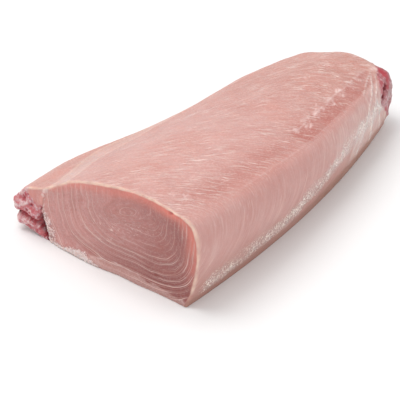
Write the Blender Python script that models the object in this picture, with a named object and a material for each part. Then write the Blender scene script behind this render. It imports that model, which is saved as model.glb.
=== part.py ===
"""A raw tuna loin: one long piece of fish, flat underneath, cut square across at the near end.

The near cut is a long wedge. It is tall on the right, where a bowed wall rises from the base, and thins out to
the left, where a flap of dark muscle hangs on behind a deep crevice. Towards the far end the loin narrows and
sinks a little, its left side fills out, and it ends in a second cut with rounded edges.

Everything is in metres, +Z up. The loin is drawn from the near right corner of its base, with X running across
it, negative to the left, and Y running back from the cut. At the end it is moved, so that the origin is at the
middle of its footprint.
"""

import bmesh
import bpy
import numpy as np

# Lengths
BODY_LENGTH = 0.362  # from the near cut to where the far end starts to round off
LENGTH = 0.376

# The right edge of the base is a shallow bow, which turns in towards the far end.
BOW_OUT = 0.0047
BOW_PLACE = 0.100
BOW_CURVE = 0.46  # metres in for each square metre along

# Width and height of the section at places along the loin
WIDTH_PLACES = (0.000, 0.060, 0.120, 0.200, 0.280, 0.360)
WIDTHS = (0.192, 0.1985, 0.1885, 0.1735, 0.1565, 0.128)
HEIGHT_PLACES = (0.000, 0.090, 0.180, 0.270, 0.360)
HEIGHTS = (0.0885, 0.0870, 0.0825, 0.0808, 0.0675)

# The section's outline from the right base corner over the top to the left base edge, as shares of the width
# (negative to the left) and of the height. It changes from the near one to the far one between two places.
NEAR_OUTLINE = (
    (0.000, 0.000),  # base corner
    (0.039, 0.260),  # foot of the wall
    (0.062, 0.620),  # belly of the wall
    (0.052, 0.800),  # top of the wall
    (0.022, 0.902),  # ridge between the wall and the top
    (-0.058, 0.953),  # edge of the top
    (-0.234, 1.000),  # crown
    (-0.609, 0.830),  # slope down to the flap
    (-0.797, 0.597),  # seam above the flap
    (-0.932, 0.478),  # top of the flap
    (-1.000, 0.249),  # nose of the flap
    (-0.958, 0.085),  # underside of the flap
    (-0.835, 0.000),  # left base edge
)
FAR_OUTLINE = (
    (0.000, 0.000),
    (0.040, 0.250),
    (0.048, 0.520),
    (0.038, 0.720),
    (0.000, 0.850),
    (-0.120, 0.925),
    (-0.380, 1.000),
    (-0.620, 0.882),
    (-0.800, 0.764),
    (-0.940, 0.455),
    (-1.000, 0.290),
    (-0.970, 0.100),
    (-0.880, 0.000),
)
CHANGE_FROM, CHANGE_TO = 0.050, 0.360

# Number of faces along each span of the outline, and across the flat base
SPAN_FACES = (4, 5, 3, 3, 4, 5, 8, 5, 5, 6, 4, 4)
BASE_FACES = 15

# The near cut: the centre of its rings, the shares of the way out to the rim where they lie, and its soft edge
CUT_CENTRE = (-0.075, 0.040)
CUT_RING_SHARES = (0.24, 0.46, 0.64, 0.76, 0.86, 0.94)
EDGE_RADIUS = 0.0016
EDGE_STEPS = 2

# Spacing of the rings along the body, close together behind the near cut
BODY_RINGS = 34
BODY_CROWDING = 1.35

# The far end: the height of its tip, how blunt it is, and the number of its rings
TIP_HEIGHT = 0.0286
TIP_BLUNTNESS = 0.45
TIP_RINGS = 9

# Lobes of the flap's torn end, where it meets the near cut: (x, z), radius and rise
FLAP_LOBES = (
    ((-0.186, 0.027), 0.0080, 0.0026),
    ((-0.185, 0.009), 0.0070, 0.0024),
    ((-0.173, 0.033), 0.0070, 0.0020),
    ((-0.168, 0.018), 0.0060, 0.0024),
    ((-0.173, 0.006), 0.0050, 0.0016),
)
# The foot of the near cut stands forward, squeezed out by the weight above it: how far at places across it, how
# high this reaches up the cut, and how far back it has died out under the base
FOOT_PLACES = (-0.152, -0.138, -0.115, -0.100, -0.085, -0.070, -0.050, -0.030, -0.010, 0.008)
FOOT_RISES = (0.0000, 0.0022, 0.0036, 0.0042, 0.0036, 0.0020, 0.0024, 0.0012, 0.0012, 0.0018)
FOOT_HEIGHT = 0.013
FOOT_DEPTH = 0.024
# Frayed tissue along that foot: x, radius and rise
FRAYS = (
    (-0.138, 0.0060, 0.0010),
    (-0.123, 0.0070, 0.0014),
    (-0.110, 0.0060, 0.0014),
    (-0.086, 0.0080, 0.0010),
    (-0.058, 0.0090, 0.0008),
    (-0.030, 0.0080, 0.0008),
)
FRAY_HEIGHT = 0.004

# Hollows in the dark muscle at the far end of the wall: (x, y, z), radius and depth
END_HOLLOWS = (
    ((-0.021, 0.345, 0.053), 0.0065, 0.0030),
    ((-0.016, 0.331, 0.049), 0.0055, 0.0024),
    ((-0.029, 0.342, 0.060), 0.0050, 0.0016),
)

# The crevice between the flap and the loin, seen on the near cut: (x, z) and width from top to bottom
CREVICE = (
    ((-0.1580, 0.0300), 0.0008),
    ((-0.1580, 0.0225), 0.0034),
    ((-0.1580, 0.0160), 0.0064),
    ((-0.1560, 0.0115), 0.0062),
    ((-0.1535, 0.0070), 0.0042),
    ((-0.1515, 0.0030), 0.0014),
)
CREVICE_DEPTH = 0.009

FLESH_COLOUR = (0.72, 0.36, 0.31, 1.0)
FLESH_ROUGHNESS = 0.38


def clear_scene():
    for obj in list(bpy.data.objects):
        bpy.data.objects.remove(obj)


def flesh_material():
    material = bpy.data.materials.new("flesh")
    material.use_nodes = True
    shader = material.node_tree.nodes["Principled BSDF"]
    shader.inputs["Base Color"].default_value = FLESH_COLOUR
    shader.inputs["Roughness"].default_value = FLESH_ROUGHNESS
    shader.inputs["Metallic"].default_value = 0.0
    return material


def along(places, values, y):
    """The value at y on the smooth curve through the values given at places: cubic Hermite pieces."""
    places, values = np.asarray(places), np.asarray(values)
    slopes = np.gradient(values, places)
    i = np.clip(np.searchsorted(places, y) - 1, 0, len(places) - 2)
    gap = places[i + 1] - places[i]
    t = (y - places[i]) / gap
    return (
        (2 * t**3 - 3 * t**2 + 1) * values[i]
        + (t**3 - 2 * t**2 + t) * gap * slopes[i]
        + (3 * t**2 - 2 * t**3) * values[i + 1]
        + (t**3 - t**2) * gap * slopes[i + 1]
    )


def ease(start, stop, y):
    """0 before start, 1 after stop, and a smooth step between them."""
    t = np.clip((y - start) / (stop - start), 0, 1)
    return t * t * (3 - 2 * t)


def curve_through(points, faces):
    """A centripetal Catmull-Rom curve through the points, with that many faces in each span."""
    ends = [2 * points[0] - points[1], *points, 2 * points[-1] - points[-2]]
    spans = []
    for i, count in enumerate(faces):
        p0, p1, p2, p3 = ends[i : i + 4]
        k1 = np.linalg.norm(p1 - p0) ** 0.5
        k2 = k1 + np.linalg.norm(p2 - p1) ** 0.5
        k3 = k2 + np.linalg.norm(p3 - p2) ** 0.5
        k = np.linspace(k1, k2, count, endpoint=False)[:, None]
        a1 = p0 + (p1 - p0) * k / k1
        a2 = p1 + (p2 - p1) * (k - k1) / (k2 - k1)
        a3 = p2 + (p3 - p2) * (k - k2) / (k3 - k2)
        b1 = a1 + (a2 - a1) * k / k2
        b2 = a2 + (a3 - a2) * (k - k1) / (k3 - k1)
        spans.append(b1 + (b2 - b1) * (k - k1) / (k2 - k1))
    return np.vstack([*spans, points[-1:]])


def outline_at(y):
    """The closed outline (x, z) of the section at y, starting at the right base corner."""
    change = ease(CHANGE_FROM, CHANGE_TO, y)
    shares = (1 - change) * np.array(NEAR_OUTLINE) + change * np.array(FAR_OUTLINE)
    size = (along(WIDTH_PLACES, WIDTHS, y), along(HEIGHT_PLACES, HEIGHTS, y))
    right_edge = BOW_OUT - BOW_CURVE * (y - BOW_PLACE) ** 2
    over = curve_through(shares * size + (right_edge, 0), SPAN_FACES)
    base = np.linspace(over[-1], over[0], BASE_FACES + 1)[1:-1]
    return np.vstack([over, base])


def ring(outline, y):
    return np.column_stack([outline[:, 0], np.full(len(outline), y), outline[:, 1]])


def cut_rings():
    """Rings of the near cut, from inside out, then round its soft edge."""
    rim = outline_at(0.0)
    centre = np.array(CUT_CENTRE)
    rings = [ring(centre + share * (rim - centre), 0.0) for share in CUT_RING_SHARES]
    inward = (centre - rim) / np.linalg.norm(centre - rim, axis=1)[:, None]
    for step in range(EDGE_STEPS):
        turn = np.pi / 2 * step / EDGE_STEPS
        inset = EDGE_RADIUS * (1 - np.sin(turn))
        rings.append(ring(rim + inset * inward, EDGE_RADIUS * (1 - np.cos(turn))))
    return rings


def body_rings():
    steps = np.linspace(0, 1, BODY_RINGS) ** BODY_CROWDING
    return [ring(outline_at(y), y) for y in EDGE_RADIUS + steps * (BODY_LENGTH - EDGE_RADIUS)]


def tip_rings():
    """Rings of the far end, which shrink towards its tip while they go round a quarter turn."""
    rings = []
    for turn in np.pi / 2 * np.arange(1, TIP_RINGS) / TIP_RINGS:
        y = BODY_LENGTH + (LENGTH - BODY_LENGTH) * np.sin(turn)
        outline = outline_at(y)
        middle = np.array([(outline[:, 0].min() + outline[:, 0].max()) / 2, TIP_HEIGHT])
        rings.append(ring(middle + np.cos(turn) ** TIP_BLUNTNESS * (outline - middle), y))
    return rings


def swell(points, normals, centre, radius, rise):
    """How far a round lobe, or a hollow where rise is negative, moves each point: a bell of the distance."""
    distance = np.linalg.norm(points - centre, axis=1)
    return normals * (rise * np.exp(-((distance / radius) ** 2)))[:, None]


def foot_forward(points):
    """How far each point near the foot of the cut stands forward."""
    forward = np.interp(points[:, 0], FOOT_PLACES, FOOT_RISES)
    return forward * ease(FOOT_HEIGHT, 0.002, points[:, 2]) * ease(FOOT_DEPTH, 0.0, points[:, 1])


def relief(points, normals):
    """The points moved by the foot of the cut and its frays, the lobes of the flap and the far end's hollows."""
    moved = points.copy()
    moved[:, 1] -= foot_forward(points)
    for (x, z), radius, rise in FLAP_LOBES:
        moved += swell(points, normals, (x, 0.0, z), radius, rise)
    for x, radius, rise in FRAYS:
        moved += swell(points, normals, (x, 0.0, FRAY_HEIGHT), radius, rise)
    for place, radius, depth in END_HOLLOWS:
        moved += swell(points, normals, place, radius, -depth)
    flat = points[:, 2] < 1e-5
    moved[:, 2] = np.maximum(moved[:, 2], 0.0)
    moved[flat, 2] = 0.0
    return moved


def skin_mesh():
    """The closed skin: quads between neighbouring rings, and a fan of triangles at each end."""
    rings = cut_rings() + body_rings() + tip_rings()
    count = len(rings[0])
    mesh = bmesh.new()
    rows = [[mesh.verts.new(point) for point in points] for points in rings]
    near = mesh.verts.new((CUT_CENTRE[0], 0.0, CUT_CENTRE[1]))
    far = mesh.verts.new((rings[-1][:, 0].mean(), LENGTH, TIP_HEIGHT))
    for i in range(count):
        j = (i + 1) % count
        mesh.faces.new((near, rows[0][j], rows[0][i]))
        mesh.faces.new((far, rows[-1][i], rows[-1][j]))
        for inner, outer in zip(rows, rows[1:]):
            mesh.faces.new((inner[i], inner[j], outer[j], outer[i]))
    bmesh.ops.recalc_face_normals(mesh, faces=mesh.faces)
    mesh.normal_update()
    points = np.array([vertex.co for vertex in mesh.verts])
    normals = np.array([vertex.normal for vertex in mesh.verts])
    for vertex, place in zip(mesh.verts, relief(points, normals)):
        vertex.co = place
    return mesh


def crevice_mesh():
    """The blade that cuts the crevice: the crevice's outline, pushed into the cut and narrowing to its bottom."""
    mesh = bmesh.new()
    left = [(x - width / 2, z) for (x, z), width in CREVICE]
    right = [(x + width / 2, z) for (x, z), width in reversed(CREVICE)]
    face = mesh.faces.new([mesh.verts.new((x, -CREVICE_DEPTH, z)) for x, z in left + right])
    pushed = bmesh.ops.extrude_face_region(mesh, geom=[face])["geom"]
    deep = [item for item in pushed if isinstance(item, bmesh.types.BMVert)]
    bmesh.ops.translate(mesh, verts=deep, vec=(0, 2 * CREVICE_DEPTH, 0))
    bmesh.ops.recalc_face_normals(mesh, faces=mesh.faces)
    return mesh


def object_from(mesh, name, collection):
    data = bpy.data.meshes.new(name)
    mesh.to_mesh(data)
    mesh.free()
    obj = bpy.data.objects.new(name, data)
    collection.objects.link(obj)
    return obj


def new_collection(name):
    collection = bpy.data.collections.new(name)
    bpy.context.scene.collection.children.link(collection)
    return collection


def cut_crevice(loin, blade):
    cut = loin.modifiers.new("crevice", "BOOLEAN")
    cut.operation = "DIFFERENCE"
    cut.solver = "EXACT"
    cut.object = blade
    blade.hide_render = True
    blade.display_type = "WIRE"


def centre_footprint(*objects):
    """Moves the meshes so that the origin is at the middle of the first one's footprint, on its base."""
    points = np.array([vertex.co for vertex in objects[0].data.vertices])
    middle = (points.min(axis=0) + points.max(axis=0)) / 2
    for obj in objects:
        for vertex in obj.data.vertices:
            vertex.co.x -= middle[0]
            vertex.co.y -= middle[1]


def main():
    clear_scene()
    parts = new_collection("tuna_loin")
    cutters = new_collection("cutters")
    loin = object_from(skin_mesh(), "loin", parts)
    blade = object_from(crevice_mesh(), "crevice_blade", cutters)
    centre_footprint(loin, blade)
    cut_crevice(loin, blade)
    loin.data.materials.append(flesh_material())
    loin.data.shade_smooth()
    loin.data.set_sharp_from_angle(angle=np.radians(50))


main()
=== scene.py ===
# %% [markdown]
# # A raw tuna loin
#
# A loin is one long muscle block of the fish, taken off the bone. This one stands on a flat base. Its near
# end is cut square across, so the nested flakes of the muscle show as rings. A strip of dark muscle hangs on
# at its left side, behind a deep crevice, and the far end is torn and wrapped in thin membrane.
#
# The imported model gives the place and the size. Everything below is measured from it.

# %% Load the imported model
import itertools

import bpy
import numpy as np
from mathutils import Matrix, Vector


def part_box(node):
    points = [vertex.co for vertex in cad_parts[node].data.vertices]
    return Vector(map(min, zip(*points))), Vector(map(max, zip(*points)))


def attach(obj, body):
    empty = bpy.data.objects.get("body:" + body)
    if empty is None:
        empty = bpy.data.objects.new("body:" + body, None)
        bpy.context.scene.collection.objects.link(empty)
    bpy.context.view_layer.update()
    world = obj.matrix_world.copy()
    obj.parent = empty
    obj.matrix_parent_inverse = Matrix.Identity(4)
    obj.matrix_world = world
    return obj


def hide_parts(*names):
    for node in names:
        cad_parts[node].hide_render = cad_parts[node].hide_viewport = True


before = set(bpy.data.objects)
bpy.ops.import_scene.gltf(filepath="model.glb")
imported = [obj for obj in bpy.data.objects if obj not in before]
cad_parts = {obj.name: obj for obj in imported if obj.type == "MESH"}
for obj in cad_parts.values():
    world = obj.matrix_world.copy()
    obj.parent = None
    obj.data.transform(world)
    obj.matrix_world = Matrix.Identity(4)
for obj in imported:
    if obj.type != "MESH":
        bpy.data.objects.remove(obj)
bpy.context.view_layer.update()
low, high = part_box("loin")
print("the packed loin measures", np.round(np.subtract(high, low) * 1000, 1), "mm")

# %% [markdown]
# The loin is worked out from the near right corner of its base, because the photograph shows that corner
# best. X runs across from there, negative to the left, Y runs back from the cut, and Z is up. The corner
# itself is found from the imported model: its wall bulges out to the right of the corner, and the foot of the
# cut stands forward.

# %% Find the corner that everything is measured from
BELLY = 0.016627
FOOT = 0.004646
corner = np.array([high[0] - BELLY, low[1] + FOOT, low[2]])
print("the near right corner of the base is at", np.round(corner, 4))

# %% [markdown]
# ## Camera
#
# The photograph was taken with a long lens from a little above, turned towards the corner. Its perspective
# was solved once from straight edges in the picture, and gives the lens and the place of the
# camera.

# %% Set up the camera
CAMERA_PLACE = (0.4188, -0.5289, 0.5300)  # from the corner
CAMERA_DOWN = 32.5  # degrees below level
CAMERA_TURN = 37.5  # degrees from the loin's length
FOCAL_PIXELS = 1080.0
PHOTO_PIXELS = 400.0

camera = bpy.data.objects.new("camera", bpy.data.cameras.new("camera"))
camera.location = corner + CAMERA_PLACE
camera.rotation_euler = np.radians([90 - CAMERA_DOWN, 0, CAMERA_TURN])
camera.data.sensor_width = 36.0
camera.data.lens = 36.0 * FOCAL_PIXELS / PHOTO_PIXELS
camera.data.clip_start = 0.01
bpy.context.scene.collection.objects.link(camera)
bpy.context.scene.camera = camera
print("the lens is", round(camera.data.lens, 1), "mm")

# %% [markdown]
# ## The section
#
# Cut across anywhere, the loin shows the same kind of outline: up the bowed wall, over the ridge and the
# crown, down the slope to the flap, round its nose, and back along the flat base. The outline is a smooth
# curve through named points, given as shares of the width and the height there. It changes slowly from the
# near cut to the far end, so whole arrays of places along the loin can be worked out at once.

# %% Dimensions of the section
BODY_LENGTH = 0.362
LENGTH = 0.376
BOW_OUT = 0.0047
BOW_PLACE = 0.100
BOW_CURVE = 0.46
WIDTH_PLACES = (0.000, 0.060, 0.120, 0.200, 0.280, 0.360)
WIDTHS = (0.192, 0.1985, 0.1885, 0.1735, 0.1565, 0.128)
HEIGHT_PLACES = (0.000, 0.090, 0.180, 0.270, 0.360)
HEIGHTS = (0.0885, 0.0870, 0.0825, 0.0808, 0.0675)
CORNER, WALL_FOOT, WALL_BELLY, WALL_TOP, RIDGE, TOP_EDGE, CROWN = range(7)
SLOPE, SEAM, FLAP_TOP, FLAP_NOSE, FLAP_LOW, LEFT_EDGE = range(7, 13)
# (share of the width, share of the height) of each named point
NEAR_OUTLINE = (
    (0.000, 0.000), (0.039, 0.260), (0.062, 0.620), (0.052, 0.800), (0.022, 0.902),
    (-0.058, 0.953), (-0.234, 1.000), (-0.609, 0.830), (-0.797, 0.597), (-0.932, 0.478),
    (-1.000, 0.249), (-0.958, 0.085), (-0.835, 0.000),
)
FAR_OUTLINE = (
    (0.000, 0.000), (0.040, 0.250), (0.048, 0.520), (0.038, 0.720), (0.000, 0.850),
    (-0.120, 0.925), (-0.380, 1.000), (-0.620, 0.882), (-0.800, 0.764), (-0.940, 0.455),
    (-1.000, 0.290), (-0.970, 0.100), (-0.880, 0.000),
)
CHANGE_FROM, CHANGE_TO = 0.050, 0.360
SPAN_COLUMNS = (16, 20, 12, 10, 12, 24, 36, 26, 26, 28, 22, 22)
BASE_COLUMNS = 98
BASE_CROWDING = 1.35


# %% Curves and steps
def along(places, values, y):
    """The value at y on the smooth curve through the values given at places: cubic Hermite pieces."""
    places, values = np.asarray(places), np.asarray(values)
    slopes = np.gradient(values, places)
    i = np.clip(np.searchsorted(places, y) - 1, 0, len(places) - 2)
    gap = places[i + 1] - places[i]
    t = (y - places[i]) / gap
    return (
        (2 * t**3 - 3 * t**2 + 1) * values[i]
        + (t**3 - 2 * t**2 + t) * gap * slopes[i]
        + (3 * t**2 - 2 * t**3) * values[i + 1]
        + (t**3 - t**2) * gap * slopes[i + 1]
    )


def ease(start, stop, value):
    """0 before start, 1 after stop, and a smooth step between them."""
    t = np.clip((value - start) / (stop - start), 0, 1)
    return t * t * (3 - 2 * t)


def bell(distance, width):
    """1 where the distance is 0, falling off on both sides over the width: e to the minus square."""
    return np.exp(-((distance / width) ** 2))


def broken_line(value, places, heights):
    """The height at value on the straight pieces between points that are given in millimetres."""
    return np.interp(value, np.array(places) / 1000, np.array(heights) / 1000)


def curve_through(points, faces):
    """A centripetal Catmull-Rom curve through the points of each row, with that many faces in each span.
    Knots lie apart by the square roots of the distances, and each span is a pyramid of linear blends."""
    first = 2 * points[:, :1] - points[:, 1:2]
    last = 2 * points[:, -1:] - points[:, -2:-1]
    ends = np.concatenate([first, points, last], axis=1)
    gaps = np.sqrt(np.linalg.norm(np.diff(ends, axis=1), axis=-1))
    spans = []
    for i, count in enumerate(faces):
        p0, p1, p2, p3 = (ends[:, i + j, None] for j in range(4))
        k1, k2, k3 = (np.cumsum(gaps[:, i : i + 3], axis=1)[:, j, None] for j in range(3))
        k = (k1 + (k2 - k1) * np.arange(count) / count)[..., None]
        k1, k2, k3 = k1[..., None], k2[..., None], k3[..., None]
        a1 = p0 + (p1 - p0) * k / k1
        a2 = p1 + (p2 - p1) * (k - k1) / (k2 - k1)
        a3 = p2 + (p3 - p2) * (k - k2) / (k3 - k2)
        b1 = a1 + (a2 - a1) * k / k2
        b2 = a2 + (a3 - a2) * (k - k1) / (k3 - k1)
        spans.append(b1 + (b2 - b1) * (k - k1) / (k2 - k1))
    return np.concatenate([*spans, points[:, -1:]], axis=1)


# %% Outline of the loin at places along it
def outlines(y):
    """The outline (x, z) of the section at each y: the near and far shares blended, times the size there,
    moved to the bowed right edge. It has one row for each y and one column for each point."""
    change = ease(CHANGE_FROM, CHANGE_TO, y)[:, None, None]
    shares = (1 - change) * np.array(NEAR_OUTLINE) + change * np.array(FAR_OUTLINE)
    size = np.stack([along(WIDTH_PLACES, WIDTHS, y), along(HEIGHT_PLACES, HEIGHTS, y)], axis=-1)
    right_edge = np.stack([BOW_OUT - BOW_CURVE * (y - BOW_PLACE) ** 2, 0 * y], axis=-1)
    over = curve_through(shares * size[:, None] + right_edge[:, None], SPAN_COLUMNS)
    step = np.linspace(0, 1, BASE_COLUMNS + 1)[1:-1, None] ** BASE_CROWDING
    base = over[:, -1:] + (over[:, :1] - over[:, -1:]) * step
    return np.concatenate([over, base], axis=1)


def column_names():
    """The place of each column on the outline, counted in named points: 4.5 is between RIDGE and TOP_EDGE."""
    spans = [i + np.arange(count) / count for i, count in enumerate(SPAN_COLUMNS)]
    base = LEFT_EDGE + np.arange(BASE_COLUMNS) / BASE_COLUMNS
    return np.concatenate([*spans, base])


name_of_column = column_names()
print("a section has", len(name_of_column), "points")

# %% [markdown]
# ## Rows from the middle of the cut to the far tip
#
# A single sheet of points wraps the whole loin. Its rows start as tiny rings in the middle of the near cut,
# grow out to the rim, turn over a soft edge, run along the body, and shrink again over the far end. Rows lie
# closer where there is more to see: out towards the flap and the rim, and on the first centimetres behind the
# cut.

# %% Places of the rows
CUT_CENTRE = np.array([-0.075, 0.040])
EDGE_RADIUS = 0.0016
TIP_HEIGHT = 0.0286
TIP_BLUNTNESS = 0.45
INNER_ROWS, OUTER_ROWS, EDGE_ROWS, FRONT_ROWS, MIDDLE_ROWS, BACK_ROWS, TIP_ROWS = 36, 54, 5, 28, 70, 58, 22
INNERMOST_SHARE, OUTER_SHARE = 0.02, 0.62
FRONT_LENGTH = 0.036
BACK_START = 0.275


def face_rows():
    """Rings on the flat cut: each is the rim, shrunk towards the middle of the cut by a share."""
    inner = np.linspace(INNERMOST_SHARE, OUTER_SHARE, INNER_ROWS, endpoint=False)
    outer = np.linspace(OUTER_SHARE, 1, OUTER_ROWS, endpoint=False)
    share = np.concatenate([inner, outer])
    rim = outlines(np.zeros(1))
    reach = np.linalg.norm(rim - CUT_CENTRE, axis=-1)
    flat = CUT_CENTRE + share[:, None, None] * (rim - CUT_CENTRE) * (1 - EDGE_RADIUS / reach)[..., None]
    return flat, np.zeros(len(share)), share


def edge_rows():
    """Rings over the soft edge of the cut: a quarter circle, inwards from the rim and back along the body."""
    turn = np.pi / 2 * np.arange(EDGE_ROWS) / EDGE_ROWS
    rim = outlines(np.zeros(1))
    inward = (CUT_CENTRE - rim) / np.linalg.norm(CUT_CENTRE - rim, axis=-1, keepdims=True)
    inset = EDGE_RADIUS * (1 - np.sin(turn))
    return rim + inset[:, None, None] * inward, EDGE_RADIUS * (1 - np.cos(turn)), np.ones(EDGE_ROWS)


def body_rows():
    """Rings along the body, closer together at the front and at the back than in the middle."""
    front = np.linspace(EDGE_RADIUS, FRONT_LENGTH, FRONT_ROWS, endpoint=False)
    middle = np.linspace(FRONT_LENGTH, BACK_START, MIDDLE_ROWS, endpoint=False)
    back = np.linspace(BACK_START, BODY_LENGTH, BACK_ROWS)
    y = np.concatenate([front, middle, back])
    return outlines(y), y, np.ones(len(y))


def tip_rows():
    """Rings over the far end: they go round a quarter turn and shrink with a power of its cosine."""
    turn = np.pi / 2 * np.arange(1, TIP_ROWS) / TIP_ROWS
    y = BODY_LENGTH + (LENGTH - BODY_LENGTH) * np.sin(turn)
    outline = outlines(y)
    middle = (outline.min(axis=1, keepdims=True) + outline.max(axis=1, keepdims=True)) / 2
    middle[..., 1] = TIP_HEIGHT
    share = np.cos(turn) ** TIP_BLUNTNESS
    return middle + share[:, None, None] * (outline - middle), y, share


# %% Put the rows together
row_groups = [face_rows(), edge_rows(), body_rows(), tip_rows()]
flat_outlines = np.concatenate([group[0] for group in row_groups])
row_place = np.concatenate([group[1] for group in row_groups])
row_share = np.concatenate([group[2] for group in row_groups])
first_edge_row = len(row_groups[0][0])
first_body_row = first_edge_row + EDGE_ROWS
rows, columns = flat_outlines.shape[:2]
from_cut = np.broadcast_to(row_place[:, None], (rows, columns))
points = np.stack([flat_outlines[..., 0], from_cut, flat_outlines[..., 1]], axis=-1)
print("the sheet has", rows, "rows and", columns, "columns:", rows * columns * 2, "triangles")

# %% [markdown]
# The cut isn't quite flat. The knife left the lowest centimetre of it standing forward, by up to four
# millimetres under the froth, and this rise dies away upwards and backwards.

# %% Let the foot of the cut stand forward
# in millimetres
FOOT_PLACES = (-152, -138, -115, -100, -85, -70, -50, -30, -10, 8)
FOOT_RISES = (0.0, 2.2, 3.6, 4.2, 3.6, 2.0, 2.4, 1.2, 1.2, 1.8)
# in metres
FOOT_HEIGHT = 0.013
FOOT_DEPTH = 0.024

foot_forward = broken_line(points[..., 0], FOOT_PLACES, FOOT_RISES)
foot_forward *= ease(FOOT_HEIGHT, 0.002, points[..., 2]) * ease(FOOT_DEPTH, 0.0, points[..., 1])
points[..., 1] -= foot_forward
print("the foot of the cut stands forward by up to", round(foot_forward.max() * 1000, 1), "mm")

# %% [markdown]
# Relief has to push each point straight out of the surface, and the features of the skin are placed by how
# far they lie from the ridge, measured round the section. Both are worked out once for the whole sheet.


# %% Directions on the sheet
def outward(sheet):
    """Unit normals of a sheet of points: the change from row to row crossed with that round the columns."""
    down_rows = np.gradient(sheet, axis=0)
    round_columns = np.roll(sheet, -1, axis=1) - np.roll(sheet, 1, axis=1)
    normal = np.cross(down_rows, round_columns)
    return normal / np.maximum(np.linalg.norm(normal, axis=-1, keepdims=True), 1e-12)


full_size = outlines(row_place)
steps_round = np.linalg.norm(np.roll(full_size, -1, axis=1) - full_size, axis=-1)
from_corner = np.cumsum(steps_round, axis=1) - steps_round
ridge_column = int(np.argmin(np.abs(name_of_column - RIDGE)))
from_ridge = from_corner - from_corner[:, ridge_column, None]
print("over the top the near section measures", round(float(from_ridge[0, SPAN_COLUMNS[0]:].max()), 3), "m")

# %% [markdown]
# ## Noise
#
# Flesh is uneven at every scale. Blender's shaders have noise for colour and fine bumps, and the forms need
# the same in numpy. A lattice of random numbers, smoothly eased between its corners, is enough. It is seeded,
# so that the loin comes out the same each time.

# %% Noise for forms
LATTICE = np.random.default_rng(11).uniform(-1, 1, 4093)
TURN = np.array([[0.64, -0.48, 0.60], [0.60, 0.80, 0.00], [-0.48, 0.36, 0.80]])
X, Y, Z = points[..., 0], points[..., 1], points[..., 2]
U = np.broadcast_to(name_of_column, X.shape)


def noise(size, seed=0, place=points):
    """Smooth noise from -1 to 1: random numbers on a cubic lattice of that size, eased between its corners.
    The lattice is turned, so that its cells don't line up with the cut or the base."""
    spot = place @ TURN / size + 31.7 * seed
    cell = np.floor(spot).astype(int)
    t = spot - cell
    t = t * t * (3 - 2 * t)
    total = np.zeros(place.shape[:-1])
    for ahead in itertools.product((0, 1), repeat=3):
        weight = np.prod(np.where(ahead, t, 1 - t), axis=-1)
        total += weight * LATTICE[(cell + ahead) @ (1, 57, 911) % len(LATTICE)]
    return total


def rough(size, seed=0):
    """Noise of one size with half-size and quarter-size noise on top."""
    return noise(size, seed) + noise(size / 2, seed + 1) / 2 + noise(size / 4, seed + 2) / 4


print("the noise draws on", len(LATTICE), "random numbers")

# %% [markdown]
# ## Where things are on the loin
#
# Every feature has a mask: a number at each point of the sheet that says how much of that feature is there.
# Masks shape the relief, and they are stored on the mesh, so that the finish can read them too. A mask is
# made of simple parts: bells round a spot or a line, steps, and noise that makes their edges ragged. Tables
# of places and sizes are given in millimetres, and single lengths in metres.

# %% Cut face and skin
on_cut = (np.arange(rows) < first_edge_row)[:, None] * np.ones(X.shape)
skin = 1 - on_cut
rim_reach = np.linalg.norm(flat_outlines[first_body_row] - CUT_CENTRE, axis=-1)
to_rim = np.where(on_cut > 0, (1 - row_share)[:, None] * rim_reach, 1.0)
masks = {"cut": on_cut}
print("the cut has", int(on_cut.sum()), "points and the skin", int(skin.sum()))

# %% [markdown]
# The muscle of a fish is built of flakes, nested in each other like cones. Where the knife crosses them they
# show as rings, bowed round a heart near the top of the cut. The field below counts them. It is a rounded box
# distance from that heart: power sums of how far a point is to the side and below, each as a share of its
# full reach.

# %% Rings of the cut
HEART = (-0.0448, 0.0824)
RIGHT_REACH, LEFT_REACH = 0.0645, 0.0971
RIGHT_ROUNDNESS, LEFT_ROUNDNESS = 3.3, 5.0
RING_COUNT = 17.0
RING_RUN = 5.0


def ring_field(x, z):
    """0 at the heart of the rings and 1 on the outermost one: (side share to the n plus depth share to the n)
    to the 1/n, where n is smaller, and so the corner rounder, on the right than on the left."""
    side = x - HEART[0]
    right = side > 0
    n = np.where(right, RIGHT_ROUNDNESS, LEFT_ROUNDNESS)
    reach = np.where(right, RIGHT_REACH, LEFT_REACH)
    depth = np.maximum(HEART[1] - z, 0) / HEART[1]
    return ((np.abs(side) / reach) ** n + depth**n) ** (1 / n)


EYE = (-0.0585, 0.0665)
EYE_LENGTH, EYE_HEIGHT, EYE_TILT = 0.0115, 0.0043, np.radians(21)


def eye_field(x, z):
    """1 on a tilted ellipse round the eye of the rings: the root of the squared shares of its half axes."""
    over = (x - EYE[0]) * np.cos(EYE_TILT) + (z - EYE[1]) * np.sin(EYE_TILT)
    up = (z - EYE[1]) * np.cos(EYE_TILT) - (x - EYE[0]) * np.sin(EYE_TILT)
    return np.hypot(over / EYE_LENGTH, up / EYE_HEIGHT)


shaken_x = X + 0.0012 * rough(0.020, 3)
shaken_z = Z + 0.0012 * rough(0.020, 4)
eye = eye_field(shaken_x, shaken_z)
near_eye = ease(3.2, 1.3, eye)
ring = (1 - near_eye) * ring_field(shaken_x, shaken_z) + near_eye * (0.07 + 0.060 * eye)
ring_turn = np.arctan2(X - HEART[0], HEART[1] - Z)
cut_flow = np.stack([ring * RING_COUNT, ring_turn * RING_RUN], axis=-1)
print("the cut counts up to", round(float(cut_flow[on_cut > 0, 0].max()), 1), "flakes")

# %% [markdown]
# On the skin the same flakes show as fine lines. They leave the seam at the left at a slant, cross the top
# towards the back, bend at the ridge, and run down the wall, leaning forward towards its foot. Their count is
# the distance along the loin, plus how far such a line has run back by the time it reaches a point.

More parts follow.
